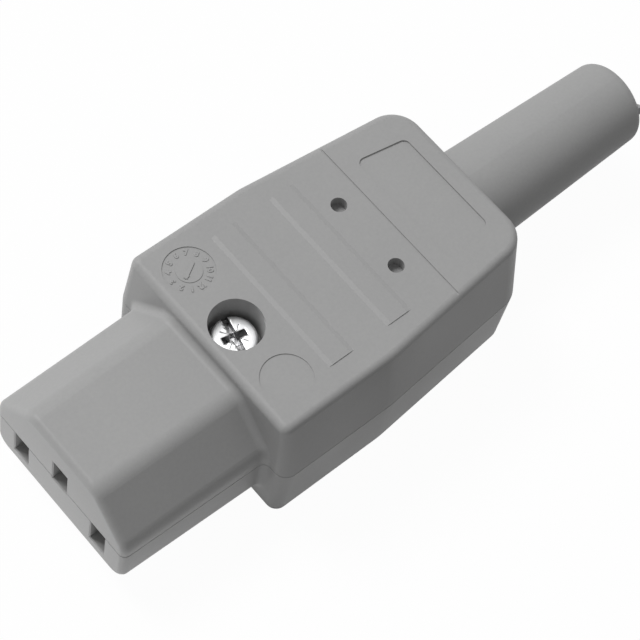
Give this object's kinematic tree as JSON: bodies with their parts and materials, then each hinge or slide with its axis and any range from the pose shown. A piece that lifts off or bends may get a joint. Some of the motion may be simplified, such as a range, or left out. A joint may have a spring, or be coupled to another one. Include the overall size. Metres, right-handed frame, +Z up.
{
  "type": "appliance cable connector",
  "caption": "Rewirable three-slot appliance cable connector in grey plastic, with a chamfered nose, screwed half shells and a tapered cord guard",
  "frame": {"origin": "middle of the bounding box in plan, on the underside plane", "axes": "+X along the connector towards the mating face, +Y across it to the side of the line pole, +Z up from the underside to the face with the screw"},
  "size_m": [0.0886, 0.0306, 0.0196],
  "materials": {
    "housing_plastic": "fine matt moulded",
    "guard_plastic": "matt flexible",
    "zinc_steel": "bright zinc plated",
    "contact_brass": "rolled",
    "spring_steel": "plain rolled"
  },
  "bodies": {
    "root": {"upper_shell": "housing_plastic", "lower_shell": "housing_plastic", "cord_guard": "guard_plastic", "housing_screw": "zinc_steel", "housing_nut": "zinc_steel", "line_contact": "contact_brass", "neutral_contact": "contact_brass", "earth_contact": "contact_brass", "line_spring": "spring_steel", "neutral_spring": "spring_steel", "earth_spring": "spring_steel", "line_clamp": "contact_brass", "neutral_clamp": "contact_brass", "earth_clamp": "contact_brass", "line_terminal_screw": "zinc_steel", "neutral_terminal_screw": "zinc_steel", "earth_terminal_screw": "zinc_steel", "cord_clamp_bar": "housing_plastic", "cord_clamp_screw_left": "zinc_steel", "cord_clamp_screw_right": "zinc_steel"}
  },
  "joints": []
}
